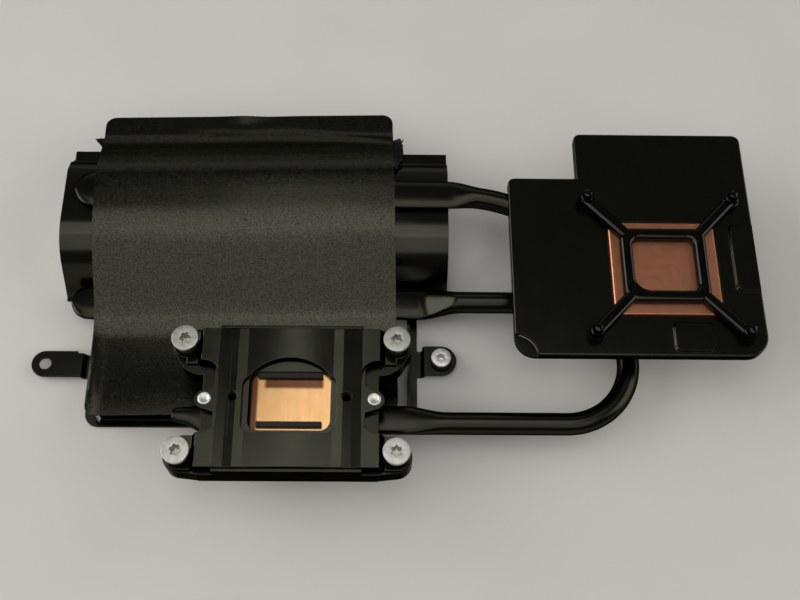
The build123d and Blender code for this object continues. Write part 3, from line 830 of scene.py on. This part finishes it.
@dataclass
class HeatPipes:
    """The two heat pipes: flat on the stack and under the coppers, else round; sizes in mm."""

    paint: Palette
    round_d: float = 8.0
    deck_t: float = 3.2
    deck_z: float = 24.0
    gpu_z: float = 22.7
    gpu_heading: float = -31.0
    foot_t: float = 3.4
    hairpin_z: float = 11.5
    hairpin_r: float = 23.5
    cpu_z: float = 14.7
    under_w: float = 10.5
    under_t: float = 3.6

    def gpu_pipe(self) -> bmesh.types.BMesh:
        """Returns the pipe from the deck of the stack to the GPU plate."""
        d, z, turned_to = self.round_d, self.gpu_z, self.gpu_heading
        run = PipeRun(Cut(-110.8, 37.1, self.deck_z, 15.2, self.deck_t))
        run.ease(Cut(21.2, 35.5, self.deck_z, 11.5, self.deck_t), 12)
        run.ease(Cut(33.0, 34.9, z, d, d, -9.0))
        run.bend(56.0, 22.0).ease(Cut(57.37, 25.01, z, d, d, turned_to), 3)
        run.ease(Cut(71.08, 16.77, z, self.under_w, self.under_t, turned_to))
        return run.ease(Cut(92.3, 4.02, z, self.under_w, self.under_t, turned_to), 4).close()

    def cpu_pipe(self) -> bmesh.types.BMesh:
        """Returns the hairpin pipe from the foot of the slope to the CPU copper."""
        d, z, back = self.round_d, self.hairpin_z, -180.0
        run = PipeRun(Cut(-112.2, -1.6, 6.5, 14.0, self.foot_t))
        run.ease(Cut(10.0, -1.6, 6.5, 12.6, self.foot_t), 12).ease(Cut(26.0, -3.0, z, d, d))
        run.ease(Cut(62.1, -3.0, z, d, d), 6).bend(self.hairpin_r, 180.0, 64)
        run.ease(Cut(20.0, -50.0, z, d, d, back), 6)
        run.ease(Cut(4.0, -50.0, self.cpu_z, self.under_w, self.under_t, back))
        run.ease(Cut(-64.0, -50.0, self.cpu_z, self.under_w, self.under_t, back), 8)
        return run.ease(Cut(-74.2, -48.6, self.cpu_z, 5.6, self.under_t, back), 12).close()

    def build(self) -> None:
        """Makes both pipes."""
        for bm, node in ((self.gpu_pipe(), "gpu_heat_pipe"), (self.cpu_pipe(), "cpu_heat_pipe")):
            put(bm, node + "_tube", self.paint.pipe, [node], 60)


@dataclass
class CpuBlock:
    """Cast body, copper, keeper plate and sprung top plate of the CPU station; sizes in mm."""

    paint: Palette
    x: float = -34.25
    y: float = -47.8
    screw_dx: float = 36.0
    screw_dy: float = 19.75
    top: float = 36.0
    screw_foot: float = 21.0
    rivet_x: float = 28.5
    rivet_y: float = -0.6
    keeper_z: float = 31.2
    arch_columns: tuple[float, ...] = (2.5, 5.0, 7.5, 10.0, 12.3)
    # distance from the top plate's middle line and rise over the CAD's plate
    relief: tuple[tuple[float, float], ...] = (
        (14.6, -0.62), (15.6, -0.62), (17.9, -0.12), (20.2, -0.013), (21.0, -0.15), (22.4, 0.168),
        (24.3, 0.082), (24.6, 0.0))

    def shift(self, d: float) -> float:
        """Rise of the top plate over the CAD's, at a distance from its middle line."""
        edge, fall = self.relief[0]
        if d < edge:
            return fall * (d / edge) ** 2
        for (a, low), (b, high) in zip(self.relief, self.relief[1:]):
            if d < b:
                return low + (high - low) * (d - a) / (b - a)
        return 0.0

    def corners(self) -> list[tuple[float, float]]:
        """The four screw axes."""
        return [(self.x + sx * self.screw_dx, self.y + sy * self.screw_dy)
                for sx in (-1, 1) for sy in (-1, 1)]

    def screws(self) -> bpy.types.Object:
        """Returns the four screws, each turned its own way."""
        bm = bmesh.new()
        for i, (x, y) in enumerate(self.corners()):
            screw = SixLobeScrew(head_r=4.6, head_t=1.4, recess_r=1.8, recess_depth=4.5,
                                 shank_r=2.0, turn=0.2 + 0.7 * i)
            screw.add(bm, x, y, self.top, self.screw_foot)
        return put(tidied(bm), "cpu_screw_set", self.paint.screw, ["cpu_screws"], 32)

    def rivets(self) -> bpy.types.Object:
        """Returns the two dished rivets."""
        bm, z = bmesh.new(), self.keeper_z
        for side in (-1, 1):
            turned(bm, [(0, z + 0.68), (1.35, z + 0.7), (1.5, z + 0.84), (1.7, z + 0.9),
                        (2.05, z + 0.88), (2.24, z + 0.7), (2.3, z + 0.4), (2.3, z), (1.3, z),
                        (1.3, z - 5.7), (1.1, z - 6.0), (0, z - 6.0)],
                   self.x + side * self.rivet_x, self.y + self.rivet_y)
        return put(tidied(bm), "cpu_rivet_pair", self.paint.bright,
                   ["cpu_rivets"], 60)

    def sleeves(self) -> bpy.types.Object:
        """Returns the four sleeves below the screw heads."""
        bm = bmesh.new()
        for x, y in self.corners():
            turned(bm, [(2.3, 29.4), (3.4, 29.4), (3.6, 29.6), (3.6, 34.3), (3.4, 34.6),
                        (2.3, 34.6), (2.3, 29.4)], x, y)
        return put(tidied(bm), "cpu_sleeve_set", self.paint.rubber,
                   ["cpu_sleeves"], 40)

    def top_plate(self) -> bpy.types.Object:
        """Returns the pressed top plate: an arch, then a level strip and a groove on each side."""
        bm = softened("cpu_top_plate", 0.2)
        columns = [*self.arch_columns, *(d for d, _ in self.relief)]
        for dx in [0.0] + [side * d for side in (-1, 1) for d in columns]:
            bmesh.ops.bisect_plane(bm, geom=bm.verts[:] + bm.edges[:] + bm.faces[:], dist=CUT_SNAP,
                                   plane_co=Vector((self.x + dx, 0, 0)) * MM, plane_no=(1, 0, 0))
        for v in bm.verts:
            v.co.z += self.shift(abs(v.co.x / MM - self.x)) * MM
        return put(bm, "cpu_top_sheet", self.paint.plate, ["cpu_top_plate"], 3.4)

    def build(self) -> None:
        """Makes the station from the cast body up."""
        put(softened("cpu_body", 0.2, 3), "cpu_body_cast", self.paint.cast,
            ["cpu_body"])
        put(softened("cpu_copper_base", 0.12), "cpu_copper_block", self.paint.cpu_copper,
            ["cpu_copper_base"])
        put(softened("cpu_keeper_plate", 0.15), "cpu_keeper_sheet", self.paint.plate,
            ["cpu_keeper_plate"])
        self.top_plate()
        put(softened("cpu_foam_strips", 0.2), "cpu_foam_pair", self.paint.foam,
            ["cpu_foam_strips"])
        self.rivets()
        self.sleeves()
        self.screws()


@dataclass(frozen=True)
class Pad:
    """Embossed pad: the point that its top shrinks towards, its reach and its wall, in mm."""

    x: float
    y: float
    reach_x: float
    reach_y: float
    wall: float = 0.5

    def inward(self, place: Vector) -> Vector:
        """A point of the pad's top, moved in by the width of the wall."""
        middle = Vector((self.x * MM, self.y * MM, place.z))
        kept = Vector((1 - self.wall / self.reach_x, 1 - self.wall / self.reach_y, 1))
        return middle + (place - middle) * kept


@dataclass
class GpuPlate:
    """Notched pan, copper base, X bracket and studs of the GPU station; sizes in mm."""

    paint: Palette
    x: float = 97.7
    y: float = 3.5
    half: float = 26.6
    bar_top: float = 32.3
    top: float = 36.0
    pad_z: float = 28.9
    edge_pad_x: float = 118.0
    edge_pad: Pad = Pad(132.0, 7.75, 8.8, 13.75)
    front_pad: Pad = Pad(105.8, -23.6, 7.2, 5.7)

    def pan(self) -> bpy.types.Object:
        """Returns the pan, with sloping walls round its two embossed pads."""
        bm = softened("gpu_plate", 0.15)
        for v in bm.verts:
            if v.co.z > self.pad_z * MM:
                pad = self.edge_pad if v.co.x > self.edge_pad_x * MM else self.front_pad
                v.co = pad.inward(v.co)
        return put(bm, "gpu_pan", self.paint.pan, ["gpu_plate"])

    def studs(self) -> bpy.types.Object:
        """Returns the four stepped studs."""
        bm, z = bmesh.new(), self.bar_top
        for sx in (-1, 1):
            for sy in (-1, 1):
                turned(bm, [(0, z), (2.0, z), (2.1, z + 0.1), (2.1, z + 1.15), (1.95, z + 1.3),
                            (1.5, z + 1.3), (1.5, self.top - 0.4), (1.38, self.top - 0.12),
                            (1.1, self.top), (0, self.top)],
                       self.x + sx * self.half, self.y + sy * self.half)
        return put(tidied(bm), "gpu_stud_set", self.paint.gloss, ["gpu_studs"], 40)

    def build(self) -> None:
        """Makes the station from the pan up."""
        self.pan()
        put(softened("gpu_copper_base", 0.1), "gpu_copper_block", self.paint.gpu_copper,
            ["gpu_copper_base"], 20)
        dress("gpu_bracket", self.paint.gloss)
        self.studs()


# stage

@dataclass
class Camera:
    """Camera at the photograph's angle; metres and degrees."""

    place: Vector
    pitch: float = 65.0
    yaw: float = 1.7
    roll: float = 1.98
    lens: float = 49.545

    def build(self) -> None:
        """Sets the camera and makes it the scene's."""
        p, w, r = (math.radians(a) for a in (self.pitch, self.yaw, self.roll))
        ahead = Vector((math.sin(w) * math.cos(p), math.cos(w) * math.cos(p), -math.sin(p)))
        right = Vector((math.cos(w), -math.sin(w), 0))
        up = right.cross(ahead)
        across = right * math.cos(r) + up * math.sin(r)
        upward = up * math.cos(r) - right * math.sin(r)
        data = bpy.data.cameras.new("camera")
        data.lens, data.sensor_width, data.sensor_fit = self.lens, 36.0, "HORIZONTAL"
        data.clip_start = 0.01
        holder = bpy.data.objects.new("camera", data)
        turn = Matrix((across, upward, -ahead)).transposed()
        holder.matrix_world = Matrix.Translation(self.place) @ turn.to_4x4()
        bpy.context.scene.collection.objects.link(holder)
        bpy.context.scene.camera = holder


@dataclass
class SoftBox:
    """Plain rectangular lamp aimed at the object, or level above it; metres and watts."""

    name: str
    place: Vector
    width: float
    depth: float
    watts: float
    level: bool = False
    tint: Colour = (1.0, 0.985, 0.96)

    def build(self) -> None:
        """Adds the lamp."""
        data = bpy.data.lights.new(self.name, "AREA")
        data.shape, data.size, data.size_y = "RECTANGLE", self.width, self.depth
        data.energy, data.color = self.watts, self.tint
        lamp = bpy.data.objects.new(self.name, data)
        lamp.location = self.place
        if not self.level:
            lamp.rotation_euler = (-self.place).to_track_quat("-Z", "Y").to_euler()
        bpy.context.scene.collection.objects.link(lamp)


@dataclass
class Stage:
    """Table, daylight, lamps and camera."""

    daylight: float = 0.08
    tint: Colour = (1.0, 0.985, 0.965)
    table_half: float = 1.6
    table_drop: float = 0.02
    eye: tuple[float, float, float] = (-2.0, -174.4, 381.1)

    def lamps(self) -> tuple[SoftBox, ...]:
        """Soft lamps: the room's ceiling and its four sides."""
        return (SoftBox("skylight", Vector((-0.114, 0.42, 1.2)), 0.17, 0.22, 0.2, True),
                SoftBox("ceiling", Vector((-0.09, 0.03, 1.2)), 0.9, 0.59, 2.25, True),
                SoftBox("front_sky", Vector((0.0, -0.62, 1.05)), 1.5, 0.95, 3.8),
                SoftBox("back_wall", Vector((0.0, 1.6, 1.0)), 1.6, 0.8, 1.6),
                SoftBox("left_wall", Vector((-2.0, 0.15, 1.05)), 2.6, 1.8, 43.0),
                SoftBox("right_wall", Vector((2.0, 0.3, 1.05)), 2.6, 1.8, 23.0))

    def table(self) -> None:
        """Adds the table top."""
        bm = bmesh.new()
        bmesh.ops.create_grid(bm, x_segments=1, y_segments=1, size=self.table_half)
        bmesh.ops.translate(bm, verts=bm.verts, vec=(0, 0, -self.table_drop * MM))
        mesh = bpy.data.meshes.new("table")
        bm.to_mesh(mesh)
        bm.free()
        mesh.materials.append(TableTop().material())
        table = bpy.data.objects.new("table", mesh)
        bpy.context.scene.collection.objects.link(table)

    def world(self) -> None:
        """Plain daylight from all round."""
        world = bpy.data.worlds.new("daylight")
        world.use_nodes = True
        ground = world.node_tree.nodes["Background"]
        ground.inputs["Color"].default_value = (*self.tint, 1)
        ground.inputs["Strength"].default_value = self.daylight
        bpy.context.scene.world = world

    def build(self) -> None:
        """Sets the whole stage."""
        bpy.context.scene.view_settings.view_transform = "Standard"
        Camera(Vector(self.eye) * MM).build()
        self.table()
        self.world()
        for lamp in self.lamps():
            lamp.build()


def main() -> None:
    """Builds the stage and every sub-assembly."""
    logging.basicConfig(level=logging.INFO, format="%(name)s %(message)s")
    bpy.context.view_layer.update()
    Stage().build()
    paint = Palette.mixed()
    for part in (FilmDuct(paint), FinStack(paint), HeatPipes(paint), CpuBlock(paint),
                 GpuPlate(paint)):
        LOG.info("building %s", type(part).__name__)
        part.build()


if __name__ == "__main__":
    main()
